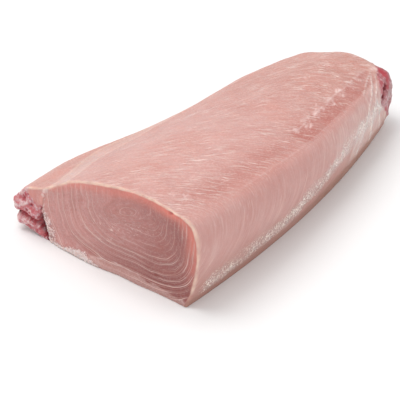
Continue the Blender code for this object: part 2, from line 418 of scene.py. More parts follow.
# %% Flakes on the skin
FLAKE_SPACING = 0.0034
TOP_SLANT = 0.75
RIDGE_ROUNDING = 0.006
WALL_SLANT, WALL_LEAN = 0.10, 150.0
SEAM_PULL, SEAM_PULL_START, SEAM_PULL_WIDTH = 0.030, 0.130, 0.030


def run_back(s):
    """How far a flake's line has run forward at the distance s from the ridge: a slant over the top, steeper
    towards the seam by an exponential, and a small slant with a cubic lean down the wall."""
    side = np.sqrt(s**2 + RIDGE_ROUNDING**2) - RIDGE_ROUNDING
    top = TOP_SLANT * side + SEAM_PULL * np.exp(np.minimum((s - SEAM_PULL_START) / SEAM_PULL_WIDTH, 2.5))
    wall = WALL_SLANT * side + WALL_LEAN * side**3
    return np.where(s > 0, top, np.minimum(wall, 0.12))


flake_place = Y + row_share[:, None] * run_back(from_ridge) + (1 - row_share[:, None]) * 0.075
skin_flow = np.stack([flake_place / FLAKE_SPACING, from_ridge * 100], axis=-1)
print("the skin counts up to", round(float(skin_flow[skin > 0, 0].max()), 1), "flakes")

# %% [markdown]
# The seam is the line where the back muscle meets the strip above the flap. It shows as a pale band between
# two cream lines, which runs back from the cut and fades. Beside the ridge the flesh is a warmer pink,
# because the membrane over it has been pulled off.

# %% Seam, ridge line and warm flesh
# by metres along the loin: the seam's place and the band's width, both counted in named points of the outline
SEAM_PLACES = (0.000, 0.031, 0.052, 0.085, 0.144, 0.250)
SEAM_LINE = (0.20, 0.40, 0.60, 0.90, 1.30, 1.60)
BAND_CHANGES = (0.000, 0.045, 0.090, 0.140, 0.250)
BAND_WIDTHS = (0.55, 0.55, 0.60, 0.40, 0.20)

upper_seam = SLOPE + np.interp(Y, SEAM_PLACES, SEAM_LINE)
lower_seam = upper_seam + np.interp(Y, BAND_CHANGES, BAND_WIDTHS)
seam_fade = skin * (1 - ease(0.16, 0.30, Y))
seam_lines = bell(U - upper_seam, 0.035) + 0.7 * bell(U - lower_seam, 0.045)
masks["seam"] = seam_fade * np.clip(seam_lines, 0, 1) * (0.75 + 0.35 * noise(0.006, 7))
masks["band"] = seam_fade * ease(-0.06, 0.06, U - upper_seam) * ease(-0.06, 0.06, lower_seam - U)
ridge_line = skin * bell(from_ridge - 0.0038, 0.0008) * ease(0.05, 0.08, Y) * ease(0.26, 0.22, Y)
strip = ease(0, 0.2, U - lower_seam) * ease(FLAP_NOSE + 0.3, FLAP_TOP + 0.2, U)
left_flank = ease(SLOPE + 0.2, SEAM + 0.2, U) * ease(FLAP_NOSE + 0.3, FLAP_TOP + 0.2, U) * ease(0.05, 0.20, Y)
ridge_warmth = bell(from_ridge - 0.016, 0.010) * ease(0.01, 0.05, Y) * ease(0.24, 0.16, Y)
bare_strip = ease(0.155, 0.175, Y) * ease(0.345, 0.325, Y) * ease(0.001, 0.005, from_ridge)
bare_strip = bare_strip * ease(0.024, 0.018, from_ridge + 0.0015 * noise(0.009, 8))
masks["warm"] = skin * np.clip(np.maximum(strip, 0.7 * left_flank) * (0.8 + 0.3 * rough(0.020, 5)), 0, 1)
masks["bare"] = skin * np.clip((0.7 * ridge_warmth + bare_strip) * (0.8 + 0.4 * rough(0.014, 6)), 0, 1)
print("the seam runs back over", int((masks["seam"][:, SPAN_COLUMNS[0]:] > 0.3).any(axis=1).sum()), "rows")

# %% [markdown]
# On the cut the flesh is greyest in the middle and redder and darker towards the low right corner and the
# base, partly its own colour and partly painted shade. A band of orange pink follows its upper edge, and the
# edge itself catches the light, painted as a thin cream highlight. Ring lines are clear at the foot and on
# the right, and faint elsewhere. Left of the heart they break up into specks.

# %% Tones of the cut
# in millimetres: the width of the orange band on the way across
EMBER_PLACES = (-150, -100, -30, 0, 6)
EMBER_WIDTHS = (4.4, 5.6, 7.8, 7.8, 5.8)
# in metres, with its share of the full tone
GLOW_PLACES = (-0.150, -0.120, -0.060, -0.010)
GLOW_STRENGTHS = (0.60, 0.75, 0.95, 1.00)
EMBER_DEPTH = 0.0026

# painted shade: the cut gets darker and redder towards the low right corner and the base, partly its own
# colour
redness_and_shade_way = X + 1.1 * np.maximum(0.042 - Z, 0) + 0.006 * rough(0.03, 14)
masks["dusk"] = on_cut * ease(-0.110, 0.010, redness_and_shade_way) * (0.86 + 0.14 * ease(0.040, 0.015, Z))
ember_width = broken_line(X, EMBER_PLACES, EMBER_WIDTHS)
ember_reach = ease(0.55, 1.6, U) * ease(SEAM + 0.3, SLOPE + 0.6, U)
ember = on_cut * ember_reach * bell(to_rim - EMBER_DEPTH, ember_width)
ember = ember * np.interp(X, GLOW_PLACES, GLOW_STRENGTHS)
ember_fade = 1 - 0.5 * ease(0.060, 0.030, Z) * (X > -0.02)
masks["ember"] = ember * ember_fade * (0.85 + 0.25 * noise(0.012, 9))
# painted highlight: a thin cream line along the upper edge of the cut
rim_width = 0.0006 + 0.0014 * ease(CROWN + 0.6, SLOPE + 0.6, U)
rim_highlight = np.where(on_cut > 0, bell(to_rim, rim_width), bell(Y, 0.0015))
rim_highlight = rim_highlight * (row_share > 0.5)[:, None] * ease(0.2, 0.9, U) * ease(FLAP_TOP + 0.5, SEAM + 0.8, U)
masks["rim"] = rim_highlight * (0.75 + 0.5 * rough(0.006, 10))
low_rings = (0.25 + 0.75 * ease(0.50, 0.72, ring)) * ease(0.15, 0.35, ring)
low_rings = low_rings * ease(-1.15, -0.70, ring_turn) * ease(1.75, 1.2, ring_turn)
side_rings = 0.52 * ease(0.35, 0.60, ring) * ease(-0.75, -1.15, ring_turn)
side_rings = side_rings * (0.3 + 0.7 * ease(0.018, 0.046, Z))
eye_rings = 0.16 * ease(3.0, 1.0, eye)
masks["rings"] = on_cut * np.clip(0.13 + low_rings + side_rings + eye_rings, 0, 1) * ease(0, 0.004, to_rim)
speck_rise = Z - 0.043 - 0.35 * (X + 0.078)
masks["specks"] = on_cut * bell(np.hypot((X + 0.078) / 0.036, speck_rise / 0.013), 1.0)
print("the rings of the cut are strongest at", round(float(masks["rings"].max()), 2))

# %% [markdown]
# The lower part of the wall is wrapped in broken silver membrane. Under it the wall turns in, dull and tan,
# and it is painted darker towards the base: partly its own tan, partly painted shade where it turns in.
# Towards the far end the membrane climbs the wall, crosses the ridge and gathers in upright folds, the first
# of them with a painted shadow behind it. A thin haze of it lies on the upper wall.
#
# Two more masks hold the streaks of the flesh back: it is smooth on the cut, on the far wall and beside the
# ridge, and plain, without flake lines, right at the ridge.

# %% Membrane
# in millimetres, for each fold: distances from the ridge, places along the loin there, half width
STRANDS = (
    ((-50, -16.7, -7.7, 0, 8.2, 12.6, 16), (244, 255, 269, 278, 307, 327, 342), 2.6),
    ((-50, -27, -11.7, 0, 13), (262, 271, 284, 305, 334), 2.2),
    ((-50, -36, -20, -8, 8), (296, 291, 294, 306, 334), 1.6),
    ((-55, -34, -11.4), (328, 317, 305), 2.4),
    ((-55, -34, -20), (346, 336, 326), 1.8),
)
# the band of membrane: places along the loin, and its height there
BAND_PLACES = (0, 50, 100, 130, 155, 180, 200, 235, 300)
BAND_HEIGHTS = (13.0, 17.5, 20.5, 23.5, 30.0, 31.0, 36.5, 43.0, 45.0)
# where the membrane starts to cover the far wall, by height
FAR_WALL_HEIGHTS = (20, 47, 58, 67, 75)
FAR_WALL_FRONT = (236, 242, 261, 277, 300)

band_height = broken_line(Y, BAND_PLACES, BAND_HEIGHTS)
wall = skin * (U < RIDGE + 0.3)
band_width = 0.0082 + 0.0016 * noise(0.012, 22)
sliver = wall * bell(Z - band_height + 0.0012 * noise(0.010, 20), band_width) * ease(0.003, 0.02, Y)
far_front = broken_line(Z, FAR_WALL_HEIGHTS, FAR_WALL_FRONT)
over_ridge = ease(0.285, 0.320, Y) * ease(0.019, 0.012, from_ridge)
far_wall = skin * np.maximum(wall, over_ridge) * ease(0, 0.016, Y - far_front + 0.007 * rough(0.014, 24))
far_wall = far_wall * ease(0.6, 1.2, U)
fold_wander = 0.0015 * noise(0.010, 21)


def strands_over(places):
    """How much of a strand is at each point: the largest bell of the distance along the loin to its line,
    which ends at the last of its distances from the ridge."""
    total = np.zeros(X.shape)
    for distances, run, half_width in places:
        off = Y - broken_line(from_ridge, distances, run) + fold_wander
        stop = ease(distances[-1] / 1000 + 0.003, distances[-1] / 1000, from_ridge)
        total = np.maximum(total, stop * bell(off, half_width / 1000 * (1 + 0.4 * noise(0.008, 26))))
    return total


strands = far_wall * strands_over(STRANDS)
masks["silver"] = np.clip(sliver * (0.9 + 0.5 * noise(0.012, 23)), 0, 1)
haze = 0.30 * wall * ease(0.000, -0.008, from_ridge) * ease(0.150, 0.250, Y) * ease(0.018, 0.036, Z)
haze = haze * (0.8 + 0.4 * rough(0.020, 58))
veil = far_wall * (0.18 + 0.24 * ease(-0.008, -0.024, from_ridge)) + 0.80 * strands
masks["veil"] = np.clip(np.maximum(veil, haze), 0, 1) * (1 - 0.4 * ease(0.312, 0.330, Y))
# painted shadow: a dark line behind the first fold
behind_fold = Y - broken_line(from_ridge, *STRANDS[0][:2]) - 0.0048 + fold_wander
masks["crease"] = far_wall * bell(behind_fold, 0.0012) * ease(-0.03, -0.01, from_ridge)
masks["wall"] = ease(RIDGE + 0.4, RIDGE - 0.4, U) * skin
by_ridge = skin * ease(0.018, 0.004, from_ridge + 0.004 * rough(0.016, 25)) * (U < FLAP_LOW)
masks["smooth"] = np.maximum(np.maximum(on_cut, far_wall), by_ridge)
masks["plain"] = skin * bell(from_ridge + 0.003, 0.012)
# painted shade: the lower wall is tinted darker towards the base, on top of its own tan
low_wall_tan_and_shade = 0.45 * ease(0.046, 0.018, Z) + 0.65 * ease(0.014, 0.005, Z - 0.35 * (band_height - 0.0185))
masks["tan"] = wall * low_wall_tan_and_shade * ease(0.38, 0.30, Y) * (1 + 0.25 * ease(0.12, 0.24, Y))
print("the membrane has", len(STRANDS), "folds")

# %% [markdown]
# The flap of dark muscle ends at the cut in a lumpy knot of crimson, maroon and lilac tissue, marbled with
# fat. The main lobes and pits are placed one by one, each with the tissue that it shows. The pits, the
# crevice and the groove between the lobes are painted maroon and crimson: partly dark tissue, partly painted
# shade.
# Where the flap meets the cut above the crevice, the flesh is drawn into a small frill.

# %% Places of lobes, pits and the crevice
# in millimetres: x, z, radius, rise out of the cut
FLAP_FORMS = (
    (-186.0, 26.2, 7.5, 3.0), (-174.0, 28.5, 8.0, 2.2), (-165.5, 20.5, 5.2, 3.4),
    (-162.0, 39.5, 9.0, 1.6), (-182.5, 10.5, 6.0, 3.6), (-173.5, 10.5, 5.0, 3.0),
    (-168.0, 11.5, 3.0, 2.0), (-162.0, 6.5, 5.0, 1.4), (-178.0, 33.5, 2.6, -1.6),
    (-170.0, 28.7, 2.2, -2.0), (-168.5, 33.6, 1.3, -0.6), (-174.2, 23.2, 1.5, -0.9),
    (-165.5, 20.0, 1.6, -0.9), (-172.4, 7.2, 2.0, -1.4),
)
# the groove between the upper and the lower lobe, from left to right
GROOVE_X = (-192.0, -187.8, -183.6, -177.0, -172.3, -167.6, -162.0)
GROOVE_Z = (15.0, 15.4, 16.4, 16.7, 15.3, 14.3, 14.0)
# in millimetres: x, z, radius
CRIMSON_SPOTS = (
    (-178.0, 33.5, 3.6), (-174.8, 37.2, 3.0), (-172.0, 39.2, 2.2), (-170.0, 28.7, 2.6),
    (-174.2, 23.2, 2.6), (-171.2, 21.5, 2.2), (-165.5, 20.0, 2.6), (-184.3, 21.0, 2.0),
    (-181.0, 17.5, 3.0), (-176.2, 17.2, 3.4), (-171.0, 15.0, 2.8), (-165.5, 14.8, 3.0),
    (-172.4, 7.2, 2.4), (-164.5, 6.0, 2.6), (-160.0, 9.0, 3.0), (-156.0, 3.5, 3.2), (-151.0, 0.5, 3.0),
)
MAROON_AND_SHADE_SPOTS = (
    (-170.0, 28.7, 1.8), (-168.5, 33.6, 1.0), (-174.2, 23.0, 1.2), (-176.9, 17.6, 1.4),
    (-164.0, 14.3, 2.2), (-160.0, 12.5, 2.2), (-172.7, 7.4, 1.2),
)
FAT_SPOTS = (
    (-188.5, 25.0, 4.6), (-185.0, 31.5, 3.6), (-176.8, 28.0, 3.6), (-173.0, 31.5, 2.6),
    (-170.0, 24.0, 2.2), (-185.5, 11.0, 6.2), (-178.5, 12.5, 4.8), (-173.0, 11.5, 3.0),
    (-174.0, 44.0, 3.4), (-181.0, 38.5, 3.4),
)
FRILL_SPOTS = ((-150.0, 52.2, 2.8), (-151.5, 49.5, 3.2), (-153.0, 46.0, 2.4))
# the crevice, from the base upwards
CREVICE_HEIGHTS = (0.0, 3.0, 7.0, 11.5, 16.0, 20.0, 24.0, 30.0, 35.5, 51.0)
CREVICE_LINE = (-150.0, -152.0, -154.0, -156.2, -158.2, -158.0, -157.8, -157.3, -154.1, -150.1)
CREVICE_HALF_WIDTHS = (1.0, 1.6, 2.6, 3.6, 3.6, 2.4, 1.5, 0.8, 0.5, 0.4)
# in metres
CREVICE_TOP = 0.0330
CREVICE_DEPTH = 0.0095
GROOVE_HALF_WIDTH, GROOVE_DEPTH = 0.0020, 0.0044
NOTCH = (-0.0149, 0.0829)
print("placed", len(FLAP_FORMS), "lobes and pits on the flap")


# %% Parts of masks
def blobs(places, across, up):
    """How much of a tissue is at each point: the largest of the bells round its places."""
    total = np.zeros(X.shape)
    for a, b, radius in np.array(places) / 1000:
        total = np.maximum(total, bell(np.hypot(across - a, up - b), radius))
    return total


def mounds(places, across, up):
    """How far each point stands out: the sum of the bells round the places, each times its rise."""
    total = np.zeros(X.shape)
    for a, b, radius, rise in np.array(places) / 1000:
        total += rise * bell(np.hypot(across - a, up - b), radius)
    return total


def grow(name, amount):
    """Raises a mask to the amount wherever it is below it."""
    masks[name] = np.maximum(masks[name], amount)


def patch(amount, raggedness, start=0.35, stop=0.75):
    """A ragged patch: a step of the amount plus noise, held to where there is some of the amount."""
    return ease(start, stop, amount + raggedness) * ease(0.03, 0.25, amount)


# %% Tissue of the flap
from_crevice = X - broken_line(Z, CREVICE_HEIGHTS, CREVICE_LINE)
half_width = broken_line(Z, CREVICE_HEIGHTS, CREVICE_HALF_WIDTHS) * (1 + 0.25 * noise(0.004, 30))
crevice = on_cut * ease(1.3, 0.7, np.abs(from_crevice) / half_width) * (Z < CREVICE_TOP)
flap_face = ease(0.0012, -0.0012, from_crevice) * ease(0.02, 0.0, Y)
flap_end = flap_face * ease(0.0060, 0.0, Y)
groove_line = broken_line(X, GROOVE_X, GROOVE_Z) - 0.0008 * noise(0.004, 29)
groove = flap_end * bell(Z - groove_line, GROOVE_HALF_WIDTH) * ease(-0.159, -0.162, X)
pink_flesh = bell(np.hypot((X + 0.1605) / 0.0095, (Z - 0.0420) / 0.0125), 1.0)
pink_corner = ease(-0.177, -0.168, X) * ease(0.034, 0.041, Z)
pink_flesh = ease(0.30, 0.80, 0.25 * rough(0.004, 33) + np.maximum(pink_flesh, pink_corner))
tissue = flap_end * (1 - pink_flesh)
ragged = 0.45 * noise(0.0030, 31) + 0.30 * noise(0.0015, 32)
masks["tissue"] = tissue
flap_glow = 0.15 + 0.30 * ease(-0.156, -0.168, X + 0.002 * rough(0.005, 59))
masks["ember"] = masks["ember"] * (1 - 0.6 * flap_face)
grow("ember", flap_end * (1 - tissue) * flap_glow)
# painted shade: a thin dark line where the crevice is closed, above its open part
closed_crevice = on_cut * bell(from_crevice, 0.0007) * ease(0.052, 0.046, Z) * ease(0.026, 0.032, Z)
grow("crease", closed_crevice)
masks["rings"] = masks["rings"] * (1 - 0.85 * flap_face)
bruise = on_cut * bell(np.hypot(X - NOTCH[0], Z - NOTCH[1]), 0.0018)
# the groove gets crimson that is partly painted shade
crimson = tissue * np.maximum(patch(blobs(CRIMSON_SPOTS, X, Z), ragged), 0.8 * groove)
masks["crimson"] = np.maximum(crimson, 0.4 * bruise)
# painted shade: the crevice is filled with maroon, and the pits get maroon that is partly painted shade
masks["maroon"] = np.maximum(0.55 * tissue * patch(blobs(MAROON_AND_SHADE_SPOTS, X, Z), 0.6 * ragged), crevice)
flap_fat = flap_end * patch(blobs(FAT_SPOTS, X, Z), 1.5 * ragged, 0.30, 0.95) * (0.25 + 0.45 * tissue)
print("dark muscle and fat cover", int((tissue > 0.5).sum()), "points of the flap's end")

# %% [markdown]
# Knife and board have frayed the foot of the cut and the edge of the crevice into white froth. Beside the
# crevice it is widest one to two centimetres above the base. Above the foot a strip of the flesh is paler,
# where it was pressed. So is the flesh beside the frill.

# %% Frayed fat
# how wide the froth is beside the crevice, how high it stands at the foot, and how high the paler strip is
FROTH_LEVELS = (0, 6, 18, 28, 34, 50)
FROTH_WIDTHS = (6.0, 10.0, 11.0, 7.0, 2.5, 1.0)
FROTH_PLACES = (-152, -146, -138, -130, -124, -116, -106, -98, -90, -80)
FROTH_HEIGHTS = (4.0, 3.5, 3.0, 3.0, 5.5, 6.8, 7.5, 4.5, 1.2, 0.0)
STRIP_PLACES = (-110, -95, -69, -37, -11, 0)
STRIP_HEIGHTS = (4.0, 8.0, 11.0, 7.5, 5.5, 5.0)

froth_width = broken_line(Z, FROTH_LEVELS, FROTH_WIDTHS)
past_crevice = from_crevice - half_width
crevice_froth = ease(-0.0006, 0.0004, past_crevice) * ease(1.25, 0.55, past_crevice / froth_width)
foot_height = broken_line(X, FROTH_PLACES, FROTH_HEIGHTS) + 0.0016 * rough(0.0050, 36)
foot_froth = ease(1.25, 0.55, Z / np.maximum(foot_height, 1e-4)) * ease(-0.152, -0.148, X)
frayed = np.clip(np.maximum(0.80 * crevice_froth, foot_froth) + 0.4 * ragged, 0, 1)
froth = on_cut * (1 - flap_end) * frayed * ease(0.05, 0.35, np.maximum(crevice_froth, foot_froth))
froth = froth * (1 - 0.65 * ease(0.026, 0.036, Z))
strip_height = broken_line(X, STRIP_PLACES, STRIP_HEIGHTS) + 0.0014 * rough(0.008, 35)
foot_strip = on_cut * ease(1.1, 0.9, Z / strip_height) * ease(-0.115, -0.100, X)
strip_edge = on_cut * bell(Z - strip_height, 0.0006) * ease(-0.100, -0.090, X)
strip_edge = strip_edge * ease(0.0, 0.4, noise(0.009, 38) + 0.2)
notch = on_cut * bell(np.hypot(X - NOTCH[0], Z - NOTCH[1]), 0.0022)
frill = on_cut * patch(blobs(FRILL_SPOTS, X, Z), ragged, 0.30, 0.80)
beside_frill = on_cut * bell(from_crevice + 0.0010, 0.0050) * ease(0.030, 0.040, Z)
grow("ember", 0.50 * beside_frill)
masks["strip"] = np.maximum(foot_strip, beside_frill)
masks["froth"] = froth
masks["fat"] = np.clip(flap_fat + 0.5 * strip_edge + 0.7 * frill, 0, 1)
print("froth covers", int((froth > 0.5).sum()), "points of the cut")

# %% [markdown]
# The far end has a knot of dark muscle too, at the top of the wall, with pits in it and a little fat above
# it. Its pits are painted maroon, partly dark tissue and partly painted shade. A row of small white curls
# runs where the membrane was torn off the top beside the ridge.

# %% Places at the far end
# in millimetres: y, distance from the ridge, radius, depth
END_POCKETS = (
    (344.0, -7.0, 4.5, 3.6), (336.0, -10.5, 4.2, 4.0), (330.0, -15.5, 3.6, 3.2),
    (323.4, -20.6, 2.0, 1.8), (351.0, 6.0, 4.5, 1.6),
)
# the front edge of the knot, by the distance from the ridge
KNOT_DISTANCES = (-46.0, -38.0, -28.0, -21.0, -15.5, -11.0, -7.0, 0.0, 7.5, 12.0, 21.0)
KNOT_FRONT = (354, 342, 330, 320, 319, 321, 322, 326, 340, 355, 368)
# in millimetres: y, distance from the ridge, radius
END_CRIMSON = (
    (356.0, 8.5, 5.0), (356.0, 2.0, 5.0), (353.0, -6.0, 4.5), (346.0, -9.5, 4.5), (340.0, -5.0, 4.0),
    (339.0, 7.5, 3.6), (332.0, -2.0, 4.0), (329.0, -9.5, 4.0), (335.0, -13.0, 4.5), (327.0, -15.5, 3.5),
    (342.0, -36.0, 5.0),
)
END_FAT = ((353.0, 14.5, 4.2), (347.5, 16.5, 2.6))
END_MAROON_AND_SHADE = (
    (344.0, -7.0, 3.8), (340.0, -9.0, 3.8), (336.0, -10.7, 4.0), (331.0, -15.0, 3.6),
    (323.4, -20.6, 2.0),
)
CURLS = (
    (173.0, 20.0, 4.0), (190.0, 19.5, 6.2), (196.0, 22.5, 4.5), (215.0, 20.0, 7.0), (222.5, 22.5, 5.0),
    (240.0, 20.5, 7.0), (264.0, 19.5, 7.0), (286.0, 18.5, 6.5), (308.0, 19.0, 5.5),
)
# in millimetres: x, y, radius of small bumps on the top, each with a painted white highlight
HIGHLIGHT_BUMPS = (
    (-64.2, 51.3, 3.0), (-26.5, 16.0, 3.5), (-31.0, 12.0, 2.5), (-42.6, 8.9, 2.5), (-18.9, 22.5, 3.0),
    (-27.8, 47.9, 2.6), (-33.0, 72.0, 3.0), (-90.0, 120.0, 2.6), (-109.1, 166.6, 3.4),
    (-61.5, 262.7, 3.6), (-71.8, 315.5, 4.5), (-64.0, 306.0, 3.0), (-56.0, 330.0, 3.0),
)
print("placed", len(END_POCKETS), "pits,", len(CURLS), "curls and", len(HIGHLIGHT_BUMPS), "highlight_bumps")

# %% Tissue of the far end
torn = 0.5 * noise(0.0045, 39) + 0.3 * noise(0.0022, 40)
masks["rear"] = skin * ease(0.12, 0.36, Y) * (1 - 0.85 * wall * (1 - ease(0.320, 0.345, Y)))
far_warmth = 0.65 * skin * ease(0.290, 0.345, Y) * ease(RIDGE, CROWN, U) * (0.8 + 0.5 * rough(0.014, 57))
grow("warm", far_warmth)
knot_front = broken_line(from_ridge, KNOT_DISTANCES, KNOT_FRONT) + 0.0025 * rough(0.006, 67)
knot = skin * ease(-0.002, 0.004, Y - knot_front)
knot = knot * ease(0.023, 0.019, from_ridge) * ease(-0.050, -0.044, from_ridge)
grow("tissue", knot)
end_crimson = knot * np.maximum(0.30, patch(blobs(END_CRIMSON, Y, from_ridge), 0.5 * torn, 0.20, 0.60))
grow("crimson", end_crimson)
# painted shade: maroon in the pits of the far knot, partly dark tissue
end_maroon_and_shade = skin * patch(blobs(END_MAROON_AND_SHADE, Y, from_ridge), 0.4 * torn, 0.40, 0.80)
grow("maroon", end_maroon_and_shade)
curls = skin * blobs(CURLS, Y, from_ridge)
curl_arcs = np.zeros(X.shape)
curl_wander = 0.0012 * noise(0.006, 43)
for y, s, radius in np.array(CURLS) / 1000:
    distance = np.hypot(Y - y, from_ridge - s) + curl_wander
    arcs = bell(distance - 0.75 * radius, 0.0009) + 0.7 * bell(distance - 0.30 * radius, 0.0008)
    curl_arcs = np.maximum(curl_arcs, arcs)
curl_edges = skin * curl_arcs * ease(-0.35, 0.30, noise(0.0032, 48) + 0.5 * torn)
curl_edges = curl_edges + 0.12 * ease(0.3, 0.7, curls + 0.5 * torn)
# painted highlights: white spots on small bumps of the top, tinted with the fat's white
highlight_bumps = blobs(HIGHLIGHT_BUMPS, X, Y) * skin * ease(WALL_TOP, RIDGE, U)
highlight_bumps = highlight_bumps * ease(-0.1, 0.5, noise(0.0022, 47) + 0.4 * torn)
tear_line = skin * bell(from_ridge - 0.0215 + 0.0030 * noise(0.016, 44), 0.0008) * ease(0.165, 0.180, Y)
tear_line = tear_line * ease(0.345, 0.335, Y) * ease(-0.4, 0.2, noise(0.011, 49))
# the white of fat, curls and tears, plus the painted highlights of the bumps
skin_fat_and_highlights = 0.7 * curl_edges + 0.35 * tear_line + 0.12 * ridge_line + 0.6 * highlight_bumps
skin_fat_and_highlights = skin_fat_and_highlights + 0.7 * skin * blobs(END_FAT, Y, from_ridge)
masks["fat"] = np.clip(masks["fat"] + skin_fat_and_highlights, 0, 1)
print("the knot of dark muscle covers", int((knot > 0.5).sum()), "points of the far end")

# %% [markdown]
# ## Relief
#
# All forms smaller than the section go into one height, which moves each point along the normal there. The
# base stays flat, because the loin rests on it.

# %% Add up the relief
# metres that a feature stands out, or lies deep, where its mask is 1
SEAM_RISE, BAND_DEPTH, BARE_DEPTH = 0.0004, 0.0005, 0.0004
STRAND_RISE, HIGHLIGHT_BUMP_RISE, TEAR_RISE, RIDGE_LINE_RISE = 0.0010, 0.0005, 0.0003, 0.0002
FLAKE_RISE, RING_RISE, TISSUE_DEPTH = 0.00012, 0.00025, 0.0010
STRIP_RISE, STRIP_EDGE_RISE, FRILL_RISE, NOTCH_DEPTH = 0.0005, 0.0004, 0.0005, 0.0016
SKIN_DEPTH, TIP_DEPTH, CROWN_DEPTH = 0.0004, 0.0012, 0.0005
FOOT_MARGIN = 0.0003

relief = skin * (0.0006 * noise(0.045, 41) + 0.00025 * rough(0.016, 42))
relief += on_cut * (0.0006 * noise(0.030, 45) + 0.0002 * rough(0.009, 46)) * ease(0, 0.004, to_rim)
relief += SEAM_RISE * masks["seam"] - BAND_DEPTH * masks["band"] - BARE_DEPTH * skin * bare_strip
relief += STRAND_RISE * strands + far_wall * 0.0005 * rough(0.008, 51)
relief += sliver * (0.0005 + 0.0006 * rough(0.004, 53))
relief += curls * (0.0005 + 0.0007 * rough(0.004, 55))
relief += TEAR_RISE * tear_line + RIDGE_LINE_RISE * ridge_line + HIGHLIGHT_BUMP_RISE * highlight_bumps
relief += FLAKE_RISE * skin * np.sin(flake_place * 2 * np.pi / (4 * FLAKE_SPACING))
ring_ridge = bell((ring * RING_COUNT) % 1 - 0.5, 0.5) - 0.7
relief -= RING_RISE * masks["rings"] * ring_ridge
relief += flap_end * mounds(FLAP_FORMS, X, Z)
relief += tissue * (0.0006 * rough(0.0045, 61) + 0.0004 * noise(0.0018, 62) - TISSUE_DEPTH)
relief -= GROOVE_DEPTH * groove
relief += froth * (0.0005 + 0.0012 * noise(0.0030, 63) + 0.0005 * noise(0.0015, 64))
relief += STRIP_RISE * foot_strip + STRIP_EDGE_RISE * strip_edge + FRILL_RISE * frill - NOTCH_DEPTH * notch
relief -= CREVICE_DEPTH * crevice
relief -= skin * mounds(END_POCKETS, Y, from_ridge)
relief += knot * (0.0012 * noise(0.0090, 65) + 0.0006 * rough(0.0045, 66))
relief -= skin * (SKIN_DEPTH + TIP_DEPTH * ease(0.355, 0.366, Y) + CROWN_DEPTH * ease(0.078, 0.088, Z))
relief += bell(Y, 0.004) * 0.0008 * rough(0.0090, 68) * (row_share > 0.5)[:, None]
relief += on_cut * bell(Z, 0.006) * 0.0006 * rough(0.0070, 69)
relief = np.where(on_cut > 0, np.minimum(relief, FOOT - foot_forward - FOOT_MARGIN), relief)
above_base = ease(0.0, 0.0030, Z)
relief *= np.where(U > LEFT_EDGE, 0.0, np.where(on_cut > 0, np.maximum(above_base, 0.4), above_base))
shaped = points + outward(points) * relief[..., None]
shaped[..., 2] = np.maximum(shaped[..., 2], 0.0)
print("relief from", round(relief.min() * 1000, 1), "to", round(relief.max() * 1000, 1), "mm")

# %% [markdown]
# The sheet becomes one closed mesh. Its columns close on themselves, and each end is closed by a fan of
# triangles round a pole. Everything that is known at the points of the sheet gets two more values, for the
# poles.


# %% Make the mesh
def with_poles(values):
    """A line for each point of the sheet and one for each pole, which is the mean of the ring beside it."""
    poles = [values[0].mean(axis=0), values[-1].mean(axis=0)]
    return np.concatenate([values.reshape(rows * columns, -1), np.reshape(poles, (2, -1))])


def closed_mesh(name, sheet):
    """Quads between the rows of the sheet, and a fan of triangles at each end, all facing out."""
    here = np.arange(rows * columns).reshape(rows, columns)
    beside = np.roll(here, -1, axis=1)
    quads = np.stack([here[:-1], here[1:], beside[1:], beside[:-1]], axis=-1).reshape(-1, 4)
    near = np.stack([np.full(columns, rows * columns), here[0], beside[0]], axis=-1)
    far = np.stack([np.full(columns, rows * columns + 1), beside[-1], here[-1]], axis=-1)
    mesh = bpy.data.meshes.new(name)
    mesh.from_pydata(with_poles(sheet).tolist(), [], quads.tolist() + near.tolist() + far.tolist())
    mesh.shade_smooth()
    return mesh


flesh_mesh = closed_mesh("flesh", shaped + corner)
print("the flesh has", len(flesh_mesh.polygons), "faces")


# %% Store the masks and the flow of the flakes
def store_mask(mesh, name, values):
    """A number at each vertex, which the finish reads by its name."""
    numbers = with_poles(values).astype(np.float32).ravel()
    mesh.attributes.new(name, "FLOAT", "POINT").data.foreach_set("value", numbers)


def store_flow(mesh, cut_flow, skin_flow, first_skin_face):
    """A UV map whose U counts flakes and whose V runs along them. It is kept at face corners, because the cut
    and the skin count their flakes differently and meet at the rim."""
    loops = np.empty(len(mesh.loops), dtype=np.int64)
    mesh.loops.foreach_get("vertex_index", loops)
    starts = np.empty(len(mesh.polygons), dtype=np.int64)
    mesh.polygons.foreach_get("loop_start", starts)
    face_of_loop = np.searchsorted(starts, np.arange(len(loops)), side="right") - 1
    near_fan = (face_of_loop >= (rows - 1) * columns) & (face_of_loop < rows * columns)
    cut_side = (face_of_loop < first_skin_face) | near_fan
    flow = np.where(cut_side[:, None], with_poles(cut_flow)[loops], with_poles(skin_flow)[loops])
    mesh.uv_layers.new(name="flow").data.foreach_set("uv", flow.astype(np.float32).ravel())


for mask_name, values in masks.items():
    store_mask(flesh_mesh, mask_name, values)
store_flow(flesh_mesh, cut_flow, skin_flow, first_edge_row * columns)
print("stored", len(masks), "masks:", ", ".join(masks))

# %% [markdown]
# The froth is more than a rough surface: crumbs of fat stand off it. Each crumb is a small ball, squeezed and
# pushed in and out by noise. They are drawn at random, from a fixed seed, among the points of the sheet where
# the froth is thick, and all of them make one mesh.

# %% Crumbs of fat
CRUMB_SIZES = (0.0003, 0.0008)
CRUMB_COUNT, CRUMB_SEED = 440, 5
CRUMB_COLUMNS, CRUMB_RINGS = 10, 6
CRUMB_MARGIN = 0.0001  # kept from the foot of the cut and from the base


